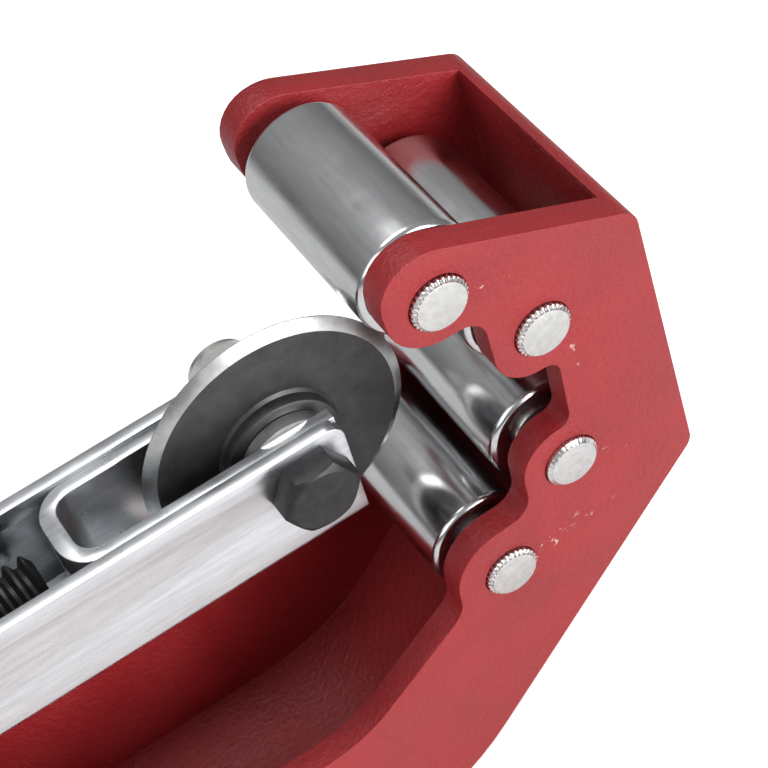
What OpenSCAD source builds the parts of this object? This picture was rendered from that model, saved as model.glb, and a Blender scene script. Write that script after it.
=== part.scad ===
// Quick-acting telescopic pipe cutter.
// A cast C-shaped frame of U section carries four rollers in a cradle. A folded steel channel slides
// through the rear of the frame with the cutting wheel at its front end. The knob turns a feed screw that
// runs through a half nut on a sprung thumb latch, so the wheel is fed forward or, with the latch pressed,
// slid back freely.
// +X runs along the slide towards the rollers, Y is along the pins and +Z is up. The origin is on the flat
// base, which the cutter stands on.

/* [Frame] */
// Width over the two cheeks
frame_w = 52; // [46:1:64]
// Thickness of each cheek
cheek_t = 5.4; // [4:0.1:7]
// Thickness of the web that joins the cheeks
web_t = 4.4; // [3:0.1:6]
// Height of the slide's centre line above the base
slide_h = 92; // [84:1:120]
// Distance from the origin forward to the cutting wheel's axis, with the slide at rest
wheel_x = 45; // [35:1:55]
// Depth of the frame's arm, from the throat's edge down to the base
arm_depth = 35.5; // [26:0.5:40]
// Distance from the wheel's axis back to the front of the rear upright
throat_back = 74; // [74:1:90]
// Length of the rear upright along the slide
upright_l = 68; // [68:1:84]
// Height of the rear upright's top above the slide's centre line
upright_top = 22; // [22:0.5:28]

/* [Rollers] */
// Roller diameter
roller_d = 21.5; // [18:0.5:23]
// Roller length
roller_l = 37.5; // [30:0.5:39]
// Forward distance of the two outer pins from the wheel's axis
outer_pin_x = 25.4; // [24:0.2:28]
// Height of the upper outer pin above the cradle's centre, and depth of the lower one
outer_pin_z = 36.5; // [36:0.5:40]
// Forward distance of the two inner pins from the wheel's axis
inner_pin_x = 41.6; // [41:0.2:44]
// Height of the upper inner pin above the cradle's centre, and depth of the lower one
inner_pin_z = 17.6; // [16:0.2:19]
// How far the roller cradle's centre sits above the slide's centre line
cradle_up = 1.5; // [0:0.1:2]
// Pin diameter
pin_d = 10; // [8:0.5:10]
// Diameter over the knurled end of a pin
knurl_d = 10.5; // [10.4:0.1:11]
// How far a pin stands out of each cheek
pin_proud = 1.4; // [0.5:0.1:3]

/* [Slide] */
// Width of the folded channel
channel_w = 24.3; // [23:0.5:26]
// Sheet thickness of the channel
channel_t = 2.6; // [2:0.1:3]
// Height of the channel's open top above its centre line
channel_up = 8.5; // [7:0.5:9]
// Depth of the channel's underside below the centre line
channel_down = 15.5; // [14.5:0.5:17]
// Distance from the wheel's axis to the channel's front end
channel_front = 8.4; // [8:0.2:11]
// Length of the channel
channel_l = 158.4; // [158:0.4:170]
// Strap thickness of the yoke that holds the wheel
yoke_t = 2.6; // [2:0.1:3]
// Distance from the wheel's axis back to the outside of the yoke's bend
yoke_back = 42; // [38:0.5:43]

/* [Cutting wheel] */
// Wheel diameter
wheel_d = 50.6; // [40:0.2:52]
// Thickness of the wheel's disc
wheel_t = 3; // [2:0.1:4]
// Width of the ground bevel around the edge
bevel_w = 2.1; // [1:0.1:4]
// Diameter of the wheel's hub
hub_d = 22; // [18:1:24]
// Bolt size (thread diameter)
bolt_d = 8; // [7:0.5:8]
// Width across the flats of the bolt head and the nut
bolt_af = 13; // [12:0.5:14]

/* [Feed screw] */
// Thread diameter
screw_d = 14; // [12:0.5:15]
// Thread pitch
screw_pitch = 3; // [2:0.5:4]
// Knob diameter
knob_d = 46; // [40:1:50]
// Length of the knob's grip
knob_l = 42; // [30:1:60]

/* [Latch] */
// Width of the latch lever
lever_w = 30; // [22:1:34]
// Diameter of the lever's pivot pin
pivot_d = 6; // [4:0.5:7]
// Length of the half nut along the screw
half_nut_l = 12; // [8:1:12]

/* [Hidden] */
$fn = 64;

// Clearances
body_gap = 0.3;         // between parts that slide past each other
run_gap = 0.05;         // radial, between a shaft and its bore
cut = 1;                // how far a cut runs past the surface it opens

// Values worked out from the dimensions above
gap_half = frame_w / 2 - cheek_t;
base_z = -slide_h;
throat_z = base_z + arm_depth;
upright_front = -throat_back;
upright_rear = upright_front - upright_l;
roller_r = roller_d / 2;
lobe_r = 9.3;
screw_z = (channel_up - channel_down + channel_t) / 2 - 0.3;
channel_rear = channel_front - channel_l;
channel_in = channel_w / 2 - channel_t;
floor_z = -channel_down + channel_t;
yoke_out = channel_in - run_gap;
yoke_in = yoke_out - yoke_t;
yoke_top = channel_up - 0.8;
bush_r = 6;
washer_gap = 0.25;
hub_half = 4.3;
head_h = 5.5;
nut_h = 8;
nut_washer_t = 1.6;
end_round = 0.8;        // rounding at a roller's ends
pin_chamfer = 0.7;
roller_float = gap_half - roller_l / 2 - 0.45;

// Rear end of the slide
block_l = 14;
block_front = channel_rear + block_l;
journal_r = 5;
thread_front = -yoke_back - 4;
washer_t = 1.5;
thread_rear = block_front + washer_t + 2 * washer_gap;
neck_r = 10;
neck_l = 5.5;
knob_front = channel_rear - 2 * washer_gap - washer_t;

// Guide wall, windows and cover
guide_front = upright_front - 18;
guide_t = 6;
guide_drop = 15;        // how far the guide wall reaches below the channel
sill_z = 12;            // top of the rear wall under the lever
shelf_l = 7.6;          // shelf that the latch spring stands on
shelf_t = 2.6;
cover_t = 3;
cover_l = 28;
screw3_r = 1.5;

// Latch
pivot_x = upright_rear + 14;
pivot_z = 17;
nut_x = pivot_x + 14;
arm_t = 4;
lever_top = pivot_z + 3;
pad_rear = upright_rear - 8;
spring_x = upright_rear + 3;
spring_r = 3.6;
wire_r = 0.55;
spring_turns = 5;
arm_z = sill_z + 8;

// Points of a closed outline whose corners are rounded: each corner is [x, z, radius]
function unit(v) = v / norm(v);
function corner_arc(a, b, c, r, n) =
    let (p = [b.x, b.y], u = unit([a.x, a.y] - p), w = unit([c.x, c.y] - p), half = acos(u * w) / 2,
         middle = p + unit(u + w) * r / sin(half), s = p + u * r / tan(half) - middle,
         e = p + w * r / tan(half) - middle, a0 = atan2(s.y, s.x), a1 = atan2(e.y, e.x),
         sweep = (a1 - a0 + 540) % 360 - 180)
    r == 0 ? [p] : [for (k = [0:n]) middle + r * [cos(a0 + sweep * k / n), sin(a0 + sweep * k / n)]];
function rounded(corners, n = 8) = let (m = len(corners))
    [for (i = [0:m - 1]) each corner_arc(corners[(i + m - 1) % m], corners[i], corners[(i + 1) % m],
        corners[i][2], n)];

// Everything is drawn around the wheel's axis and then put in its place above the base
module placed() { translate([wheel_x, 0, slide_h]) children(); }
// An outline in X and Z, as thick as from y0 to y1
module across(y0, y1) { translate([0, y1, 0]) rotate([90, 0, 0]) linear_extrude(y1 - y0) children(); }
// A cylinder along Y, from y0 to y1
module rod_y(r, y0, y1) { translate([0, y0, 0]) rotate([-90, 0, 0]) cylinder(r = r, h = y1 - y0); }
// A turned part on the Y axis, from an outline of [radius, y]
module turned_y(points) { rotate([-90, 0, 0]) rotate_extrude() polygon(points); }
// A turned part on the screw's axis, from an outline of [radius, x]
module turned_x(points) { translate([0, 0, screw_z]) rotate([0, 90, 0]) rotate_extrude() polygon(points); }

// The four pins: upper outer, upper inner, lower inner, lower outer, as [x, z, roller's shift along y]
PINS = [[outer_pin_x, cradle_up + outer_pin_z, -roller_float],
    [inner_pin_x, cradle_up + inner_pin_z, -roller_float * 0.6],
    [inner_pin_x, cradle_up - inner_pin_z, roller_float],
    [outer_pin_x, cradle_up - outer_pin_z, roller_float]];

// ---- Frame ----
p1 = PINS[0];
p2 = PINS[1];
p3 = PINS[2];
p4 = PINS[3];
back_top = [p2.x + 20.5, p1.y - 6.1];
back_low = [p2.x + 24.6, p3.y - 15];
heel = [back_low.x - (slide_h + back_low.y) / 0.96, base_z];
toe_rear = upright_rear + 44;

module cheek_outline() {
    polygon(rounded([
        [p1.x - 10, p1.y + 11.6, 7.5],
        [p1.x - 8.9, p1.y - 8.4, 9.3],
        [p2.x - 9.8, p1.y - 8.6, 4.5],
        [p2.x - 9.2, p2.y - 9.2, 7.8],
        [p2.x + 1.6, p2.y - 9.2, 2.8],
        [p2.x + 1.6, p3.y + 9.2, 2.8],
        [p3.x - 9.4, p3.y + 9.2, 8],
        [p3.x - 9.6, p3.y - 7, 4.5],
        [p4.x - 10.4, p4.y + 11.3, 10],
        [p4.x - 10.8, p4.y - 3.5, 6],
        [p4.x - 36.4, throat_z, 25],
        [upright_front, throat_z, 22],
        [upright_front, upright_top, 6],
        [upright_rear, upright_top, 6],
        [upright_rear, base_z + 44, 18],
        [toe_rear, base_z, 26],
        [heel.x, heel.y, 45],
        [back_low.x, back_low.y, 4],
        [back_top.x, back_top.y, 4.5],
        [p1.x + 0.6, p1.y + 11.1, 10]]));
}

module pocket_outline() {
    open_z = p1.y + 40;
    polygon(rounded([
        [back_top.x - web_t * 0.8, open_z, 0],
        [back_top.x - web_t * 0.8, back_top.y, 0],
        [back_low.x - web_t, back_low.y + 2, 3],
        [heel.x - 2, base_z + web_t, 40],
        [toe_rear + 2, base_z + web_t, 22],
        [upright_rear + web_t, base_z + 46, 14],
        [upright_rear + web_t, open_z, 0]]));
}

// Opening that the channel slides through
module channel_window(x0, x1) {
    w = channel_w + 2 * body_gap;
    translate([x0, -w / 2, -channel_down - body_gap])
        cube([x1 - x0, w, channel_up + channel_down + 2 * body_gap]);
}

module cover_screw_places() {
    for (x = [5, cover_l - 5], s = [-1, 1])
        translate([upright_front - 2 - x, s * (frame_w - cheek_t) / 2, upright_top]) children();
}

module frame_casting() {
    color("firebrick") placed() difference() {
        union() {
            difference() {
                across(-frame_w / 2, frame_w / 2) cheek_outline();
                across(-gap_half, gap_half) pocket_outline();
            }
            translate([guide_front - guide_t, -gap_half, -channel_down - guide_drop])
                cube([guide_t, 2 * gap_half, upright_top + channel_down + guide_drop]);
            translate([upright_rear, -gap_half, sill_z - shelf_t]) cube([shelf_l, 2 * gap_half, shelf_t]);
        }
        channel_window(guide_front - guide_t - cut, guide_front + cut);
        channel_window(upright_rear - cut, upright_rear + web_t + cut);
        translate([upright_rear - cut, -lever_w / 2 - 2, sill_z])
            cube([web_t + 2 * cut, lever_w + 4, upright_top]);
        for (p = PINS) translate([p.x, 0, p.y]) {
            rod_y(knurl_d / 2 + 0.1, -frame_w / 2 - cut, -gap_half + cut);
            rod_y(pin_d / 2, gap_half - cut, frame_w / 2 + cut);
        }
        translate([pivot_x, 0, pivot_z]) rod_y(pivot_d / 2, -frame_w / 2 - cut, frame_w / 2 + cut);
        cover_screw_places() translate([0, 0, -9]) cylinder(r = screw3_r, h = 9 + cut);
    }
}

module roller_pin(i) {
    p = PINS[i];
    end = frame_w / 2 + pin_proud;
    knurl = knurl_d / 2;
    r = pin_d / 2;
    c = pin_chamfer;
    color("silver") placed() translate([p.x, 0, p.y]) turned_y([
        [0, -end], [knurl - c, -end], [knurl, -end + c], [knurl, -gap_half], [r, -gap_half],
        [r, end - c], [r - c, end], [0, end]]);
}

module roller(i) {
    p = PINS[i];
    h = roller_l / 2;
    e = end_round;
    bore = pin_d / 2 + run_gap;
    color("gainsboro") placed() translate([p.x, p.z, p.y]) turned_y([
        [bore, -h], [roller_r - e, -h], [roller_r - 0.3 * e, -h + 0.3 * e], [roller_r, -h + e],
        [roller_r, h - e], [roller_r - 0.3 * e, h - 0.3 * e], [roller_r - e, h], [bore, h]]);
}

module housing_cover() {
    color("dimgray") placed() difference() {
        translate([upright_front - 2 - cover_l, -frame_w / 2, upright_top])
            cube([cover_l, frame_w, cover_t]);
        cover_screw_places() translate([0, 0, -cut]) cylinder(r = screw3_r, h = cover_t + 2 * cut);
    }
}

module cover_screws() {
    color("silver") placed() cover_screw_places() {
        translate([0, 0, -8]) cylinder(r = screw3_r, h = 8 + cover_t);
        translate([0, 0, cover_t]) difference() {
            cylinder(r = 2.6, h = 2);
            translate([0, 0, 0.9]) cylinder(r = 1.4, h = 2, $fn = 6);
        }
    }
}

module latch_pivot_pin() {
    end = frame_w / 2;
    r = pivot_d / 2;
    color("silver") placed() translate([pivot_x, 0, pivot_z])
        turned_y([[0, -end], [r - 0.4, -end], [r, -end + 0.4], [r, end - 0.4], [r - 0.4, end], [0, end]]);
}

module pivot_spacers() {
    color("silver") placed() translate([pivot_x, 0, pivot_z]) for (s = [0, 1]) mirror([0, s, 0])
    difference() {
        rod_y(pivot_d / 2 + 1.6, lever_w / 2 + body_gap, gap_half);
        rod_y(pivot_d / 2, 0, frame_w);
    }
}

module latch_spring() {
    pitch = (arm_z - sill_z - 2 * wire_r - 0.1) / (spring_turns - 1);
    color("silver") placed() translate([spring_x, 0, sill_z + wire_r]) for (k = [0:spring_turns - 1])
        translate([0, 0, k * pitch]) rotate_extrude() translate([spring_r, 0]) circle(r = wire_r, $fn = 16);
}

// ---- Slide ----
module slide_channel() {
    w = channel_w / 2;
    color("lightsteelblue") placed() difference() {
        translate([channel_rear, 0, 0]) rotate([90, 0, 90]) linear_extrude(channel_l) polygon(rounded([
            [-w, channel_up, 0], [-w, -channel_down, 1.6], [w, -channel_down, 1.6],
            [w, channel_up, 0], [channel_in, channel_up, 0], [channel_in, floor_z, 0],
            [-channel_in, floor_z, 0], [-channel_in, channel_up, 0]]));
        rod_y(bolt_d / 2 + 0.2, -w - cut, w + cut);
        translate([-wheel_d / 2, -wheel_t / 2 - 3.5, -channel_down - cut])
            cube([wheel_d / 2 + channel_front + cut, wheel_t + 7, channel_t + 2 * cut]);
        across(-w - cut, w + cut) difference() {
            translate([channel_front - 3, channel_up - 3]) square(4);
            translate([channel_front - 3, channel_up - 3]) circle(r = 3);
        }
        block_screw_places() rod_y(2, -w - cut, w + cut);
    }
}

module wheel_yoke() {
    color("silver") placed() difference() {
        translate([0, 0, floor_z + run_gap]) linear_extrude(yoke_top - floor_z - run_gap) polygon(rounded([
            [channel_front, -yoke_out, 0], [channel_front, -yoke_in, 0],
            [-yoke_back + yoke_t + 0.6, -yoke_in, 4], [-yoke_back + yoke_t + 0.6, yoke_in, 4],
            [channel_front, yoke_in, 0], [channel_front, yoke_out, 0],
            [-yoke_back, yoke_out, 7], [-yoke_back, -yoke_out, 7]]));
        rod_y(bolt_d / 2 + 0.2, -channel_w, channel_w);
    }
}

module hexagon_y(af, y0, y1) {
    translate([0, y0, 0]) rotate([-90, 0, 0]) cylinder(r = af / sqrt(3), h = y1 - y0, $fn = 6);
}

module wheel_bolt() {
    w = channel_w / 2;
    tip = w + nut_washer_t + nut_h + 1.2;
    color("#2b2b2d") placed() union() {
        intersection() {
            hexagon_y(bolt_af, -w - head_h, -w);
            turned_y([[0, -w - head_h], [bolt_af / 2 - 0.5, -w - head_h],
                [bolt_af / 2 + 2, -w - head_h + 1.6],
                [bolt_af / 2 + 2, -w], [0, -w]]);
        }
        turned_y([[0, -w - cut], [bolt_d / 2, -w - cut], [bolt_d / 2, tip - 0.8], [bolt_d / 2 - 0.8, tip],
            [0, tip]]);
    }
}

module nut_washer() {
    w = channel_w / 2;
    color("silver") placed() difference() {
        rod_y(bolt_d, w, w + nut_washer_t);
        rod_y(bolt_d / 2 + 0.2, w - cut, w + nut_washer_t + cut);
    }
}

module wheel_nut() {
    y0 = channel_w / 2 + nut_washer_t;
    hex_h = nut_h * 0.7;
    color("silver") placed() difference() {
        union() {
            intersection() {
                hexagon_y(bolt_af, y0, y0 + hex_h);
                turned_y([[0, y0], [bolt_af / 2, y0], [bolt_af / 2 + 2, y0 + 1.2],
                    [bolt_af / 2, y0 + hex_h + 0.4],
                    [0, y0 + hex_h + 0.4]]);
            }
            turned_y([[0, y0], [bolt_af / 2 - 0.4, y0], [bolt_af / 2 - 0.4, y0 + nut_h - 1],
                [bolt_af / 2 - 1.6, y0 + nut_h], [0, y0 + nut_h]]);
        }
        rod_y(bolt_d / 2, y0 - cut, y0 + nut_h + cut);
    }
}

module wheel_bush() {
    color("darkgoldenrod") placed() difference() {
        rod_y(bush_r, -yoke_in, yoke_in);
        rod_y(bolt_d / 2 + run_gap, -yoke_in - cut, yoke_in + cut);
    }
}

module side_washers() {
    color("silver") placed() for (s = [0, 1]) mirror([0, s, 0]) difference() {
        rod_y(bush_r + 3, hub_half + washer_gap, yoke_in);
        rod_y(bush_r, 0, channel_w);
    }
}

module cutter_wheel() {
    r = wheel_d / 2;
    t = wheel_t / 2;
    bore = bush_r + run_gap;
    color("#3a3b3d") placed() turned_y([
        [bore, -hub_half], [hub_d / 2 - 0.8, -hub_half], [hub_d / 2, -hub_half + 0.8], [hub_d / 2, -t],
        [r - bevel_w, -t], [r, -0.1], [r, 0.1], [r - bevel_w, t],
        [hub_d / 2, t], [hub_d / 2, hub_half - 0.8], [hub_d / 2 - 0.8, hub_half], [bore, hub_half]]);
}

module block_screw_places() {
    for (z = [screw_z - 7.6, screw_z + 7.6]) translate([block_front - block_l / 2, 0, z]) children();
}

module bearing_block() {
    half = channel_in - run_gap;
    color("slategray") placed() difference() {
        translate([channel_rear, -half, floor_z + run_gap])
            cube([block_l, 2 * half, channel_up - floor_z - run_gap]);
        translate([channel_rear - cut, 0, screw_z]) rotate([0, 90, 0])
            cylinder(r = journal_r + run_gap, h = block_l + 2 * cut);
        block_screw_places() for (s = [0, 1]) mirror([0, s, 0]) rod_y(2, half - 6, half + cut);
    }
}

module block_screws() {
    w = channel_w / 2;
    inner = channel_in - run_gap - 5.5;
    color("silver") placed() block_screw_places() for (s = [0, 1]) mirror([0, s, 0]) rod_y(2, inner, w);
}

// ---- Feed screw and knob ----
module feed_screw() {
    r = screw_d / 2;
    depth = screw_pitch / 2;
    root = r - depth;
    tail = knob_front - neck_l - knob_l + 8;
    grooves = [for (x = [thread_rear + 1:screw_pitch:thread_front - screw_pitch - 1])
        each [[r, x], [root, x + 0.25 * screw_pitch], [root, x + 0.55 * screw_pitch],
            [r, x + 0.8 * screw_pitch]]];
    color("#222222") placed() difference() {
        turned_x(concat([[0, tail], [journal_r - 0.6, tail], [journal_r, tail + 0.6],
            [journal_r, thread_rear], [r, thread_rear]], grooves,
            [[r, thread_front - 1.2], [root - 0.4, thread_front], [0, thread_front]]));
        translate([knob_front - neck_l / 2, 0, screw_z]) rod_y(1.5, -screw_d, screw_d);
    }
}

module thrust_washer() {
    color("darkgoldenrod") placed() turned_x([[journal_r, thread_rear - washer_t],
        [journal_r + 3, thread_rear - washer_t],
        [journal_r + 3, thread_rear], [journal_r, thread_rear]]);
}

module rear_washer() {
    color("silver") placed() turned_x([[journal_r, knob_front], [journal_r + 3, knob_front],
        [journal_r + 3, knob_front + washer_t], [journal_r, knob_front + washer_t]]);
}

module handle_knob() {
    r = knob_d / 2;
    grip_front = knob_front - neck_l;
    rear = grip_front - knob_l;
    scallops = 9;
    color("#1d1d1f") placed() difference() {
        turned_x([[0, rear], [r - 6, rear], [r - 1.5, rear + 3], [r, rear + 8], [r - 1, grip_front - 7],
            [r - 4, grip_front - 2], [neck_r + 2, grip_front], [neck_r, grip_front], [neck_r, knob_front],
            [0, knob_front]]);
        turned_x([[0, rear + 8], [journal_r, rear + 8], [journal_r, knob_front + cut],
            [0, knob_front + cut]]);
        for (k = [0:scallops - 1]) translate([rear - cut, 0, screw_z]) rotate([k * 360 / scallops, 0, 0])
            translate([0, 0, r + 4.2]) rotate([0, 90, 0]) cylinder(r = 6.5, h = knob_l - 5);
        translate([grip_front + neck_l / 2, 0, screw_z]) rod_y(1.5, -knob_d, knob_d);
    }
}

module knob_pin() {
    color("silver") placed() translate([knob_front - neck_l / 2, 0, screw_z]) rod_y(1.5, -neck_r, neck_r);
}

// ---- Latch ----
module latch_lever() {
    color("#2b2b2d") placed() difference() {
        across(-lever_w / 2, lever_w / 2) polygon(rounded([
            [nut_x + half_nut_l / 2 + 1, pivot_z - 4.5, 1], [nut_x + half_nut_l / 2 + 1, lever_top - 1, 2],
            [pivot_x + 3, lever_top + 2, 3], [pivot_x - 4, lever_top + 2, 3],
            [pivot_x - 8, arm_z + arm_t, 3],
            [pad_rear, arm_z + arm_t, 1.8], [pad_rear, arm_z, 1.8], [pivot_x - 6, arm_z, 2],
            [pivot_x - 5, pivot_z - 4.5, 3]]));
        translate([pivot_x, 0, pivot_z]) rod_y(pivot_d / 2 + run_gap, -lever_w, lever_w);
        nut_screw_places() translate([0, 0, -20]) cylinder(r = screw3_r, h = 40);
        nut_screw_places() translate([0, 0, lever_top - 3.4]) cylinder(r = 3, h = 10);
    }
}

module nut_screw_places() {
    for (s = [-1, 1]) translate([nut_x, s * 4.5, 0]) children();
}

module half_nut() {
    half_w = min(8, channel_in - 1.2);
    color("darkgoldenrod") placed() difference() {
        translate([nut_x - half_nut_l / 2, -half_w, screw_z + 1])
            cube([half_nut_l, 2 * half_w, pivot_z - 4.5 - screw_z - 1]);
        translate([nut_x - half_nut_l, 0, screw_z]) rotate([0, 90, 0])
            cylinder(r = screw_d / 2 + body_gap, h = 2 * half_nut_l);
        nut_screw_places() translate([0, 0, screw_z + screw_d / 2 + 1.6]) cylinder(r = screw3_r, h = 20);
    }
}

module half_nut_screws() {
    color("silver") placed() nut_screw_places() {
        translate([0, 0, screw_z + screw_d / 2 + 2])
            cylinder(r = screw3_r, h = lever_top - 3.4 - screw_z - screw_d / 2 - 2);
        translate([0, 0, lever_top - 3.4]) difference() {
            cylinder(r = 2.6, h = 2.2);
            translate([0, 0, 1]) cylinder(r = 1.3, h = 2, $fn = 6);
        }
    }
}

module thumb_pad() {
    pad_l = pivot_x - 9 - pad_rear;
    color("#b01c22") placed() translate([pad_rear + 0.8, -lever_w / 2 + 1, arm_z + arm_t]) difference() {
        cube([pad_l - 0.8, lever_w - 2, 2.6]);
        for (k = [1:4]) translate([k * (pad_l - 0.8) / 5 - 0.6, -cut, 1.6]) cube([1.2, lever_w, 2]);
    }
}

frame_casting();
roller_pin(0);  // roller_pin_1
roller_pin(1);  // roller_pin_2
roller_pin(2);  // roller_pin_3
roller_pin(3);  // roller_pin_4
housing_cover();
cover_screws();
latch_pivot_pin();
pivot_spacers();
latch_spring();
roller(0);  // roller_1
roller(1);  // roller_2
roller(2);  // roller_3
roller(3);  // roller_4
slide_channel();
wheel_yoke();
wheel_bolt();
wheel_nut();
nut_washer();
wheel_bush();
side_washers();
bearing_block();
block_screws();
cutter_wheel();
feed_screw();
thrust_washer();
rear_washer();
handle_knob();
knob_pin();
latch_lever();
half_nut();
half_nut_screws();
thumb_pad();
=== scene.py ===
# %% [markdown]
# # Pipe cutter
# The CAD gives every piece its size and place. This scene finishes the frame as a painted casting, draws the
# feed screw's thread, the latch spring's coil and the knurled pin ends, and lights it all on white.

# %% Setup
import math
import bpy
import bmesh
from mathutils import Matrix, Vector


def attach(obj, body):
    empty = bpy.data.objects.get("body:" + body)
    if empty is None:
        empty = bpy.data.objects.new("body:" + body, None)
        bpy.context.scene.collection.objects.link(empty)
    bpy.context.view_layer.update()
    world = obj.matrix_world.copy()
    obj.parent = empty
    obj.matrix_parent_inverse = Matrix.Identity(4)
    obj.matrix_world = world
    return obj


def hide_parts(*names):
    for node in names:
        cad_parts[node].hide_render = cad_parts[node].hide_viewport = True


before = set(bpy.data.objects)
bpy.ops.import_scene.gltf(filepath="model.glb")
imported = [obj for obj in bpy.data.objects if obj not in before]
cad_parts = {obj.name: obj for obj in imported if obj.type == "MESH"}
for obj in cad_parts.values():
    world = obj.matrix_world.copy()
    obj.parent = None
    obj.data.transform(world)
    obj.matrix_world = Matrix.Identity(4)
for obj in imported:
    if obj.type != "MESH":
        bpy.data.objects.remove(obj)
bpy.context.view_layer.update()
MM = 0.001
PARTS = {o.name: o for o in bpy.data.objects if o.type == "MESH"}
print("loaded", len(PARTS), "meshes")

AXIS = Vector((0.045, 0.0, 0.092))          # the cutting wheel's axis, at rest
SCREW_Z = 0.092 - 0.0025                    # height of the feed screw
PINS = [(0.0704, 0.1300), (0.0866, 0.1111), (0.0866, 0.0759), (0.0704, 0.0570)]
FRAME_HALF = 0.026
PIN_PROUD = 0.0014
KNURL_R = 0.00525

# %% [markdown]
# ## Materials
# Every material is procedural. The wear, grain and scratches come from shared node groups that work on object
# coordinates.

# %% Node groups
def new_group(name, outputs, inputs=()):
    tree = bpy.data.node_groups.new(name, "ShaderNodeTree")
    for label, kind, value in inputs:
        sock = tree.interface.new_socket(name=label, in_out="INPUT", socket_type=kind)
        sock.default_value = value
    for label, kind in outputs:
        tree.interface.new_socket(name=label, in_out="OUTPUT", socket_type=kind)
    return tree, tree.nodes.new("NodeGroupInput"), tree.nodes.new("NodeGroupOutput")


def node(tree, kind, **sockets):
    n = tree.nodes.new(kind)
    for key, value in sockets.items():
        if hasattr(n, key) and key not in n.inputs:
            setattr(n, key, value)
        else:
            n.inputs[key.replace("_", " ")].default_value = value
    return n


def ramp(tree, low, high, c0=(0, 0, 0, 1), c1=(1, 1, 1, 1)):
    n = tree.nodes.new("ShaderNodeValToRGB")
    n.color_ramp.elements[0].position = low
    n.color_ramp.elements[0].color = c0
    n.color_ramp.elements[1].position = high
    n.color_ramp.elements[1].color = c1
    return n


def casting_group():
    """Sand-cast surface under thick paint: a fine pebbled normal and a slow change in tone."""
    tree, inp, out = new_group("casting_skin", [("Normal", "NodeSocketVector"), ("Tone", "NodeSocketFloat"),
                                                ("Chip", "NodeSocketFloat")],
                               [("Depth", "NodeSocketFloat", 0.35)])
    link = tree.links.new
    coord = tree.nodes.new("ShaderNodeTexCoord")
    pebble = node(tree, "ShaderNodeTexNoise", Scale=900.0, Detail=3.0, Roughness=0.55)
    grain = node(tree, "ShaderNodeTexNoise", Scale=2600.0, Detail=2.0, Roughness=0.5)
    wave = node(tree, "ShaderNodeTexNoise", Scale=60.0, Detail=2.0, Roughness=0.5)
    for n in (pebble, grain, wave):
        link(coord.outputs["Object"], n.inputs["Vector"])
    mix = node(tree, "ShaderNodeMath", operation="MULTIPLY_ADD")
    link(grain.outputs["Fac"], mix.inputs[0])
    mix.inputs[1].default_value = 0.35
    link(pebble.outputs["Fac"], mix.inputs[2])
    bump = node(tree, "ShaderNodeBump", Distance=0.00035)
    link(inp.outputs["Depth"], bump.inputs["Strength"])
    link(mix.outputs[0], bump.inputs["Height"])
    link(bump.outputs["Normal"], out.inputs["Normal"])
    tone = ramp(tree, 0.3, 0.7)
    link(wave.outputs["Fac"], tone.inputs["Fac"])
    link(tone.outputs["Color"], out.inputs["Tone"])
    geo = tree.nodes.new("ShaderNodeNewGeometry")
    edge = ramp(tree, 0.565, 0.62)
    link(geo.outputs["Pointiness"], edge.inputs["Fac"])
    spots = node(tree, "ShaderNodeTexNoise", Scale=420.0, Detail=3.0, Roughness=0.6)
    link(coord.outputs["Object"], spots.inputs["Vector"])
    spot = ramp(tree, 0.58, 0.63)
    link(spots.outputs["Fac"], spot.inputs["Fac"])
    chip = node(tree, "ShaderNodeMath", operation="MULTIPLY")
    link(edge.outputs["Color"], chip.inputs[0])
    link(spot.outputs["Color"], chip.inputs[1])
    link(chip.outputs[0], out.inputs["Chip"])
    return tree


def metal_group():
    """Rolled or turned metal: drawn grain along X, fine scratches and a patchy roughness."""
    tree, inp, out = new_group("metal_grain", [("Normal", "NodeSocketVector"), ("Rough", "NodeSocketFloat"),
                                               ("Tone", "NodeSocketFloat")],
                               [("Stretch", "NodeSocketVector", (60.0, 900.0, 900.0)),
                                ("Depth", "NodeSocketFloat", 0.1)])
    link = tree.links.new
    coord = tree.nodes.new("ShaderNodeTexCoord")
    scale = node(tree, "ShaderNodeVectorMath", operation="MULTIPLY")
    link(coord.outputs["Object"], scale.inputs[0])
    link(inp.outputs["Stretch"], scale.inputs[1])
    grain = node(tree, "ShaderNodeTexNoise", Scale=1.0, Detail=4.0, Roughness=0.6)
    link(scale.outputs[0], grain.inputs["Vector"])
    patch = node(tree, "ShaderNodeTexNoise", Scale=140.0, Detail=4.0, Roughness=0.6)
    link(coord.outputs["Object"], patch.inputs["Vector"])
    bump = node(tree, "ShaderNodeBump", Distance=0.0001)
    link(inp.outputs["Depth"], bump.inputs["Strength"])
    link(grain.outputs["Fac"], bump.inputs["Height"])
    link(bump.outputs["Normal"], out.inputs["Normal"])
    rough = ramp(tree, 0.3, 0.75)
    link(patch.outputs["Fac"], rough.inputs["Fac"])
    link(rough.outputs["Color"], out.inputs["Rough"])
    tone = ramp(tree, 0.3, 0.7)
    link(grain.outputs["Fac"], tone.inputs["Fac"])
    link(tone.outputs["Color"], out.inputs["Tone"])
    return tree


CASTING = casting_group()
METAL = metal_group()


# %% Materials
def start_material(name):
    mat = bpy.data.materials.new(name)
    mat.use_nodes = True
    tree = mat.node_tree
    return mat, tree, tree.nodes["Principled BSDF"]


def mixed(tree, fac, a, b):
    n = tree.nodes.new("ShaderNodeMix")
    n.data_type = "RGBA"
    n.inputs["A"].default_value = a
    n.inputs["B"].default_value = b
    tree.links.new(fac, n.inputs["Factor"])
    return n.outputs["Result"]


def ranged(tree, value, low, high):
    n = tree.nodes.new("ShaderNodeMapRange")
    n.inputs["To Min"].default_value = low
    n.inputs["To Max"].default_value = high
    tree.links.new(value, n.inputs["Value"])
    return n.outputs["Result"]


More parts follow.
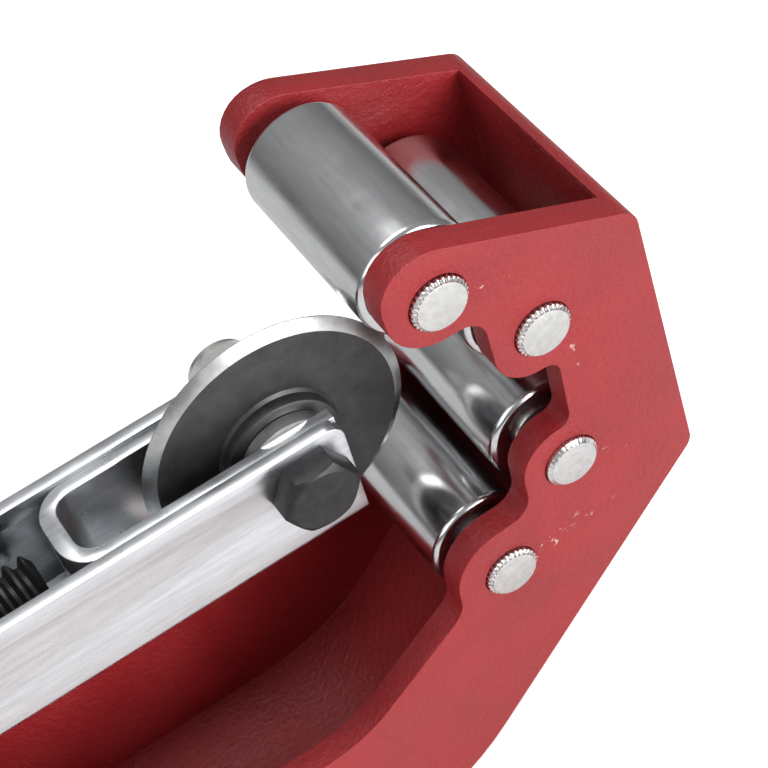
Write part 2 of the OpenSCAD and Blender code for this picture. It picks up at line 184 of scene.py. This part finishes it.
def paint(name, dark, light, rough=(0.32, 0.46), depth=0.35):
    mat, tree, bsdf = start_material(name)
    skin = tree.nodes.new("ShaderNodeGroup")
    skin.node_tree = CASTING
    skin.inputs["Depth"].default_value = depth
    base = mixed(tree, skin.outputs["Tone"], dark, light)
    chip = tree.nodes.new("ShaderNodeMix")
    chip.data_type = "RGBA"
    tree.links.new(skin.outputs["Chip"], chip.inputs["Factor"])
    tree.links.new(base, chip.inputs["A"])
    chip.inputs["B"].default_value = (0.62, 0.42, 0.36, 1)
    tree.links.new(chip.outputs["Result"], bsdf.inputs["Base Color"])
    tree.links.new(ranged(tree, skin.outputs["Tone"], *rough), bsdf.inputs["Roughness"])
    tree.links.new(skin.outputs["Normal"], bsdf.inputs["Normal"])
    bsdf.inputs["Specular IOR Level"].default_value = 0.5
    return mat


def metal(name, dark, light, rough=(0.2, 0.35), stretch=(60, 900, 900), depth=0.1, metallic=1.0):
    mat, tree, bsdf = start_material(name)
    grain = tree.nodes.new("ShaderNodeGroup")
    grain.node_tree = METAL
    grain.inputs["Stretch"].default_value = stretch
    grain.inputs["Depth"].default_value = depth
    tree.links.new(mixed(tree, grain.outputs["Tone"], dark, light), bsdf.inputs["Base Color"])
    tree.links.new(ranged(tree, grain.outputs["Rough"], *rough), bsdf.inputs["Roughness"])
    tree.links.new(grain.outputs["Normal"], bsdf.inputs["Normal"])
    bsdf.inputs["Metallic"].default_value = metallic
    return mat


M = {
    "frame_paint": paint("frame_paint", (0.27, 0.012, 0.015, 1), (0.33, 0.017, 0.021, 1), (0.36, 0.5), 0.9),
    "pin_steel": metal("pin_steel", (0.62, 0.62, 0.61, 1), (0.78, 0.78, 0.77, 1), (0.2, 0.38), (700, 700, 700)),
    "roller_steel": metal("roller_steel", (0.60, 0.61, 0.62, 1), (0.70, 0.71, 0.72, 1), (0.14, 0.26),
                          (900, 120, 900), 0.05),
    "channel_zinc": metal("channel_zinc", (0.62, 0.64, 0.66, 1), (0.78, 0.80, 0.82, 1), (0.24, 0.42),
                          (90, 900, 900), 0.12),
    "fastener_steel": metal("fastener_steel", (0.62, 0.62, 0.60, 1), (0.75, 0.75, 0.73, 1), (0.24, 0.4),
                            (600, 600, 600)),
    "cover_steel": metal("cover_steel", (0.36, 0.37, 0.38, 1), (0.46, 0.47, 0.48, 1), (0.3, 0.45)),
    "black_steel": metal("black_steel", (0.020, 0.020, 0.022, 1), (0.045, 0.045, 0.048, 1), (0.34, 0.5),
                         (400, 400, 400), 0.15, 0.6),
    "wheel_steel": metal("wheel_steel", (0.055, 0.055, 0.058, 1), (0.085, 0.085, 0.088, 1), (0.34, 0.5),
                         (300, 300, 300), 0.08, 0.75),
    "wheel_bevel": metal("wheel_bevel", (0.46, 0.46, 0.46, 1), (0.60, 0.60, 0.60, 1), (0.25, 0.4),
                         (500, 500, 500)),
    "bush_bronze": metal("bush_bronze", (0.40, 0.24, 0.09, 1), (0.52, 0.33, 0.13, 1), (0.28, 0.42)),
    "knob_plastic": paint("knob_plastic", (0.010, 0.010, 0.011, 1), (0.016, 0.016, 0.017, 1), (0.42, 0.55), 0.1),
    "pad_plastic": paint("pad_plastic", (0.30, 0.012, 0.017, 1), (0.34, 0.014, 0.02, 1), (0.4, 0.5), 0.1),
}
SLOT_OF = {"frame_casting": "frame_paint", "housing_cover": "cover_steel", "bearing_block": "cover_steel",
           "cover_screws": "fastener_steel", "latch_pivot_pin": "pin_steel", "pivot_spacers": "fastener_steel",
           "latch_spring": "fastener_steel", "slide_channel": "channel_zinc", "wheel_yoke": "channel_zinc",
           "wheel_bolt": "black_steel", "wheel_nut": "fastener_steel", "nut_washer": "fastener_steel",
           "wheel_bush": "bush_bronze", "side_washers": "fastener_steel", "block_screws": "fastener_steel",
           "cutter_wheel": "wheel_steel", "feed_screw": "black_steel", "thrust_washer": "bush_bronze",
           "rear_washer": "fastener_steel", "handle_knob": "knob_plastic", "knob_pin": "fastener_steel",
           "latch_lever": "black_steel", "half_nut": "bush_bronze", "half_nut_screws": "fastener_steel",
           "thumb_pad": "pad_plastic"}
for k in range(1, 5):
    SLOT_OF["roller_pin_%d" % k] = "pin_steel"
    SLOT_OF["roller_%d" % k] = "roller_steel"
for name, mat_name in SLOT_OF.items():
    mesh = PARTS[name].data
    mesh.materials.clear()
    mesh.materials.append(M[mat_name])
print("materials", len(M))


# %% [markdown]
# ## Finished pieces
# A finished piece stands in for its CAD node where the real one has rounded edges, a helix or knurls.

# %% Helpers
def smooth_by_angle(mesh, degrees=32):
    for poly in mesh.polygons:
        poly.use_smooth = True
    mesh.set_sharp_from_angle(angle=math.radians(degrees))


def add_piece(name, bm, mats, node_name, body):
    mesh = bpy.data.meshes.new(name)
    bm.to_mesh(mesh)
    bm.free()
    for mat in mats:
        mesh.materials.append(mat)
    smooth_by_angle(mesh)
    obj = bpy.data.objects.new(name, mesh)
    bpy.context.collection.objects.link(obj)
    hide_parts(node_name)
    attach(obj, body)
    return obj


def merged_copy(name):
    src = PARTS[name]
    bm = bmesh.new()
    bm.from_mesh(src.data)
    bm.transform(src.matrix_world)
    bmesh.ops.remove_doubles(bm, verts=bm.verts, dist=2e-6)
    return bm


def lathe(bm, points, centre, along, steps=64, mat=0):
    """Turn a profile of (radius, distance) about an axis through centre."""
    along = Vector(along).normalized()
    side = along.orthogonal().normalized()
    other = along.cross(side)
    rings = []
    for r, d in points:
        base = Vector(centre) + along * d
        if r < 1e-7:
            rings.append([bm.verts.new(base)])
            continue
        rings.append([bm.verts.new(base + (side * math.cos(a) + other * math.sin(a)) * r)
                      for a in (2 * math.pi * k / steps for k in range(steps))])
    for a, b in zip(rings, rings[1:]):
        for k in range(steps):
            j = (k + 1) % steps
            if len(a) == 1:
                f = bm.faces.new((a[0], b[j], b[k]))
            elif len(b) == 1:
                f = bm.faces.new((a[k], a[j], b[0]))
            else:
                f = bm.faces.new((a[k], a[j], b[j], b[k]))
            f.material_index = mat
    return rings


# %% Frame: a casting with rounded edges
def finish_frame():
    bm = merged_copy("frame_casting")
    bmesh.ops.dissolve_limit(bm, angle_limit=math.radians(0.6), verts=bm.verts, edges=bm.edges)
    mesh = bpy.data.meshes.new("frame_finish")
    bm.to_mesh(mesh)
    bm.free()
    mesh.materials.append(M["frame_paint"])
    obj = bpy.data.objects.new("frame_finish", mesh)
    bpy.context.collection.objects.link(obj)
    mod = obj.modifiers.new("round", "BEVEL")
    mod.width = 1.5 * MM
    mod.segments = 4
    mod.limit_method = "ANGLE"
    mod.angle_limit = math.radians(38)
    mod.use_clamp_overlap = True
    mod.harden_normals = False
    deps = bpy.context.evaluated_depsgraph_get()
    done = bpy.data.meshes.new_from_object(obj.evaluated_get(deps))
    obj.modifiers.clear()
    obj.data = done
    smooth_by_angle(done, 40)
    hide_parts("frame_casting")
    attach(obj, "frame")
    print("frame faces", len(done.polygons))


finish_frame()


# %% Rollers: tubes with rolled, polished ends
def finish_roller(k, body):
    lo, hi = node_box("roller_%d" % k)
    h = (hi.y - lo.y) / 2
    r = (hi.x - lo.x) / 2
    bore = 5.05 * MM
    e = 1.3 * MM
    arc = [(r - e + e * math.sin(a), e - e * math.cos(a)) for a in (math.pi / 2 * t / 6 for t in range(7))]
    lip = [(bore, 0.5 * MM), (bore + 0.5 * MM, 0.1 * MM), (bore + 1.2 * MM, 0.0)]
    half = lip + arc
    prof = [(x, d - h) for x, d in half] + [(x, h - d) for x, d in reversed(half)]
    bm = bmesh.new()
    lathe(bm, prof + prof[:1], ((lo.x + hi.x) / 2, (lo.y + hi.y) / 2, (lo.z + hi.z) / 2), (0, 1, 0), 72)
    bmesh.ops.remove_doubles(bm, verts=bm.verts, dist=1e-7)
    bmesh.ops.recalc_face_normals(bm, faces=bm.faces)
    add_piece("roller_finish_%d" % k, bm, [M["roller_steel"]], "roller_%d" % k, body)


def node_box(name):
    obj = PARTS[name]
    pts = [obj.matrix_world @ v.co for v in obj.data.vertices]
    return (Vector([min(p[i] for p in pts) for i in range(3)]),
            Vector([max(p[i] for p in pts) for i in range(3)]))


for k, body in enumerate(("upper_outer_roller", "upper_inner_roller", "lower_inner_roller", "lower_outer_roller")):
    finish_roller(k + 1, body)


# %% Pins: a straight knurl round the pressed end
def finish_pin(k):
    x, z = PINS[k]
    teeth = 30
    per = 6
    end = -FRAME_HALF - PIN_PROUD
    deep = 0.34 * MM if k != 2 else 0.1 * MM
    bm = bmesh.new()

    def ring(r, y, knurled):
        verts = []
        for i in range(teeth * per):
            a = 2 * math.pi * i / (teeth * per)
            phase = (i % per) / per
            cut = deep * (1 - abs(2 * phase - 1)) ** 1.5 if knurled else 0.0
            verts.append(bm.verts.new((x + (r - cut) * math.cos(a), y, z + (r - cut) * math.sin(a))))
        return verts

    r = KNURL_R
    far = FRAME_HALF + PIN_PROUD
    rings = [ring(r - 1.15 * MM, end - 0.0, False), ring(r - 0.72 * MM, end + 0.12 * MM, False),
             ring(r - 0.45 * MM, end + 0.42 * MM, True), ring(r, end + 0.8 * MM, True),
             ring(r, -FRAME_HALF + 5.4 * MM, True), ring(5 * MM, -FRAME_HALF + 5.4 * MM, False),
             ring(5 * MM, far - 0.7 * MM, False), ring(4.3 * MM, far, False)]
    n = teeth * per
    for a, b in zip(rings, rings[1:]):
        for i in range(n):
            bm.faces.new((a[i], a[(i + 1) % n], b[(i + 1) % n], b[i]))
    bm.faces.new(rings[0])
    bm.faces.new(list(reversed(rings[-1])))
    bmesh.ops.recalc_face_normals(bm, faces=bm.faces)
    add_piece("pin_finish_%d" % (k + 1), bm, [M["pin_steel"]], "roller_pin_%d" % (k + 1), "frame")


for k in range(4):
    finish_pin(k)


# %% Feed screw: a right-handed helix
def finish_screw():
    lo, hi = node_box("feed_screw")
    r = 7 * MM
    root = 5.5 * MM
    journal = 5 * MM
    pitch = 3 * MM
    steps = 40
    front = hi.x
    rear = -0.0890
    bm = bmesh.new()
    shape = [(0.00, r), (0.10, r), (0.38, root), (0.62, root), (0.90, r)]
    rows = []
    turns = int((front - rear) / pitch) + 2
    for t in range(turns * len(shape)):
        frac, rad = shape[t % len(shape)]
        row = []
        for i in range(steps + 1):
            x = rear - pitch + (t // len(shape) + frac + i / steps) * pitch
            a = -2 * math.pi * i / steps
            x_in = min(max(x, rear), front)
            rr = rad
            if x > front - 1.2 * MM:
                rr = min(rad, r - max(0.0, x_in - (front - 1.2 * MM)) * 1.6)
            row.append(bm.verts.new((x_in, rr * math.sin(a), SCREW_Z + rr * math.cos(a))))
        rows.append(row)
    for a, b in zip(rows, rows[1:]):
        for i in range(steps):
            bm.faces.new((a[i], a[i + 1], b[i + 1], b[i]))
    bmesh.ops.remove_doubles(bm, verts=bm.verts, dist=1e-6)
    lathe(bm, [(0, 0), (r - 1.9 * MM, 0)], (front, 0, SCREW_Z), (1, 0, 0), 40)
    lathe(bm, [(0, lo.x), (journal - 0.6 * MM, lo.x), (journal, lo.x + 0.6 * MM), (journal, rear), (r, rear)],
          (0, 0, SCREW_Z), (1, 0, 0), 40)
    bmesh.ops.dissolve_degenerate(bm, edges=bm.edges, dist=1e-7)
    bmesh.ops.recalc_face_normals(bm, faces=bm.faces)
    add_piece("screw_finish", bm, [M["black_steel"]], "feed_screw", "feed")


finish_screw()


# %% Cutting wheel: dark disc with a bright ground bevel
def finish_wheel():
    x, z = AXIS.x, AXIS.z
    r = 25.3 * MM
    bevel = 2.1 * MM
    t = 1.5 * MM
    hub = 11 * MM
    hh = 4.3 * MM
    bore = 6.05 * MM
    bm = bmesh.new()
    centre = (x, 0, z)
    for s in (-1, 1):
        prof = [(bore, s * hh), (hub - 0.8 * MM, s * hh), (hub - 0.2 * MM, s * (hh - 0.3 * MM)), (hub, s * (hh - 0.9 * MM)),
                (hub, s * (t + 0.5 * MM)), (hub + 0.6 * MM, s * t), (r - bevel - 0.25 * MM, s * t),
                (r - bevel, s * (t - 0.05 * MM))]
        lathe(bm, prof, centre, (0, 1, 0), 128, 0)
        lathe(bm, [(r - bevel, s * (t - 0.05 * MM)), (r, s * 0.1 * MM)], centre, (0, 1, 0), 128, 1)
    lathe(bm, [(r, -0.1 * MM), (r, 0.1 * MM)], centre, (0, 1, 0), 128, 1)
    lathe(bm, [(bore, -hh), (bore, hh)], centre, (0, 1, 0), 128, 0)
    bmesh.ops.remove_doubles(bm, verts=bm.verts, dist=1e-6)
    bmesh.ops.recalc_face_normals(bm, faces=bm.faces)
    add_piece("wheel_finish", bm, [M["wheel_steel"], M["wheel_bevel"]], "cutter_wheel", "wheel")


finish_wheel()


# %% Latch spring: a coil
def finish_spring():
    lo, hi = node_box("latch_spring")
    wire = 0.55 * MM
    r = 3.6 * MM
    cx, cy = (lo.x + hi.x) / 2, (lo.y + hi.y) / 2
    z0, z1 = lo.z + wire, hi.z - wire
    turns = 5.0
    n = 200
    bm = bmesh.new()
    rings = []
    for i in range(n + 1):
        t = i / n
        a = 2 * math.pi * turns * t
        flat = min(max((t - 0.1) / 0.8, 0), 1)
        c = Vector((cx + r * math.cos(a), cy + r * math.sin(a), z0 + (z1 - z0) * flat))
        out = Vector((math.cos(a), math.sin(a), 0))
        rings.append([bm.verts.new(c + (out * math.cos(b) + Vector((0, 0, 1)) * math.sin(b)) * wire)
                      for b in (2 * math.pi * j / 10 for j in range(10))])
    for a, b in zip(rings, rings[1:]):
        for j in range(10):
            bm.faces.new((a[j], a[(j + 1) % 10], b[(j + 1) % 10], b[j]))
    bm.faces.new(rings[0])
    bm.faces.new(list(reversed(rings[-1])))
    bmesh.ops.recalc_face_normals(bm, faces=bm.faces)
    add_piece("spring_finish", bm, [M["fastener_steel"]], "latch_spring", "frame")


finish_spring()


# %% Small bevels on the sheet and machined pieces
def finish_bevelled(name, width, segments, body, angle=30):
    bm = merged_copy(name)
    bmesh.ops.dissolve_limit(bm, angle_limit=math.radians(0.6), verts=bm.verts, edges=bm.edges)
    mesh = bpy.data.meshes.new(name + "_finish")
    bm.to_mesh(mesh)
    bm.free()
    mesh.materials.append(M[SLOT_OF[name]])
    obj = bpy.data.objects.new(name + "_finish", mesh)
    bpy.context.collection.objects.link(obj)
    mod = obj.modifiers.new("edge", "BEVEL")
    mod.width = width
    mod.segments = segments
    mod.limit_method = "ANGLE"
    mod.angle_limit = math.radians(angle)
    deps = bpy.context.evaluated_depsgraph_get()
    done = bpy.data.meshes.new_from_object(obj.evaluated_get(deps))
    obj.modifiers.clear()
    obj.data = done
    smooth_by_angle(done, 35)
    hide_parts(name)
    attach(obj, body)


finish_bevelled("slide_channel", 0.45 * MM, 2, "slide")
finish_bevelled("wheel_yoke", 0.45 * MM, 2, "slide")
finish_bevelled("bearing_block", 0.4 * MM, 2, "slide")
finish_bevelled("housing_cover", 0.5 * MM, 2, "frame")
finish_bevelled("latch_lever", 0.5 * MM, 2, "latch")
finish_bevelled("handle_knob", 0.9 * MM, 3, "feed", 25)
finish_bevelled("thumb_pad", 0.3 * MM, 2, "latch")
finish_bevelled("wheel_bolt", 0.25 * MM, 2, "slide")
finish_bevelled("half_nut", 0.3 * MM, 2, "latch")
for name, obj in PARTS.items():
    if obj.name in bpy.data.objects:
        smooth_by_angle(obj.data, 30)

# %% [markdown]
# ## Floor, light and camera

# %% Floor
def build_floor():
    bm = bmesh.new()
    bmesh.ops.create_grid(bm, x_segments=1, y_segments=1, size=4.0)
    mesh = bpy.data.meshes.new("floor")
    bm.to_mesh(mesh)
    bm.free()
    mat, tree, bsdf = start_material("floor_white")
    bsdf.inputs["Base Color"].default_value = (0.86, 0.86, 0.86, 1)
    bsdf.inputs["Roughness"].default_value = 0.9
    bsdf.inputs["Emission Color"].default_value = (1, 1, 1, 1)
    path = tree.nodes.new("ShaderNodeLightPath")
    tree.links.new(ranged(tree, path.outputs["Is Camera Ray"], 0.0, 0.55), bsdf.inputs["Emission Strength"])
    mesh.materials.append(mat)
    obj = bpy.data.objects.new("floor", mesh)
    bpy.context.collection.objects.link(obj)


build_floor()


# %% World
def build_world():
    world = bpy.data.worlds.new("studio")
    bpy.context.scene.world = world
    world.use_nodes = True
    tree = world.node_tree
    tree.nodes.clear()
    link = tree.links.new
    out = tree.nodes.new("ShaderNodeOutputWorld")
    white = tree.nodes.new("ShaderNodeBackground")
    white.inputs["Color"].default_value = (1, 1, 1, 1)
    white.inputs["Strength"].default_value = 1.0
    room = tree.nodes.new("ShaderNodeBackground")
    coord = tree.nodes.new("ShaderNodeTexCoord")
    split = tree.nodes.new("ShaderNodeSeparateXYZ")
    link(coord.outputs["Generated"], split.inputs[0])
    grade = ramp(tree, 0.30, 0.86, (0.10, 0.10, 0.105, 1), (0.95, 0.95, 0.95, 1))
    up = ranged(tree, split.outputs["Z"], 0.0, 1.0)
    up.node.inputs["From Min"].default_value = -1.0
    link(up, grade.inputs["Fac"])
    link(grade.outputs["Color"], room.inputs["Color"])
    room.inputs["Strength"].default_value = 0.4
    path = tree.nodes.new("ShaderNodeLightPath")
    mix = tree.nodes.new("ShaderNodeMixShader")
    link(path.outputs["Is Camera Ray"], mix.inputs[0])
    link(room.outputs[0], mix.inputs[1])
    link(white.outputs[0], mix.inputs[2])
    link(mix.outputs[0], out.inputs["Surface"])


build_world()


# %% Lights
def area_light(name, place, target, w, h, power, colour=(1, 1, 1)):
    data = bpy.data.lights.new(name, "AREA")
    data.shape = "RECTANGLE"
    data.size = w
    data.size_y = h
    data.energy = power
    data.color = colour
    obj = bpy.data.objects.new(name, data)
    obj.location = place
    obj.rotation_euler = (Vector(target) - Vector(place)).to_track_quat("-Z", "Y").to_euler()
    bpy.context.collection.objects.link(obj)
    return obj


HEART = (0.06, 0.0, 0.10)
area_light("key", (0.50, -0.95, 0.42), HEART, 0.7, 0.7, 13.0)
area_light("fill", (-0.75, -0.35, 0.70), HEART, 0.8, 0.8, 3.0)
area_light("top", (0.05, 0.25, 1.05), HEART, 0.7, 0.5, 3.5)

# %% Camera
def build_camera():
    right = Vector((0.83179, -0.52118, -0.19106)).normalized()
    down = Vector((-0.51146, -0.58580, -0.62869)).normalized()
    forward = right.cross(down).normalized()
    down = forward.cross(right).normalized()
    place = AXIS + Vector((-0.05546, -0.23215, 0.27659))
    data = bpy.data.cameras.new("camera")
    data.sensor_width = 36.0
    data.lens = 99.4
    data.shift_x = -0.0249
    data.shift_y = -0.0035
    data.clip_start = 0.01
    obj = bpy.data.objects.new("camera", data)
    turn = Matrix((right, -down, -forward)).transposed().to_4x4()
    obj.matrix_world = Matrix.Translation(place) @ turn
    bpy.context.collection.objects.link(obj)
    bpy.context.scene.camera = obj


build_camera()
scene = bpy.context.scene
scene.view_settings.view_transform = "Standard"
scene.view_settings.look = "None"
scene.view_settings.exposure = 0.0
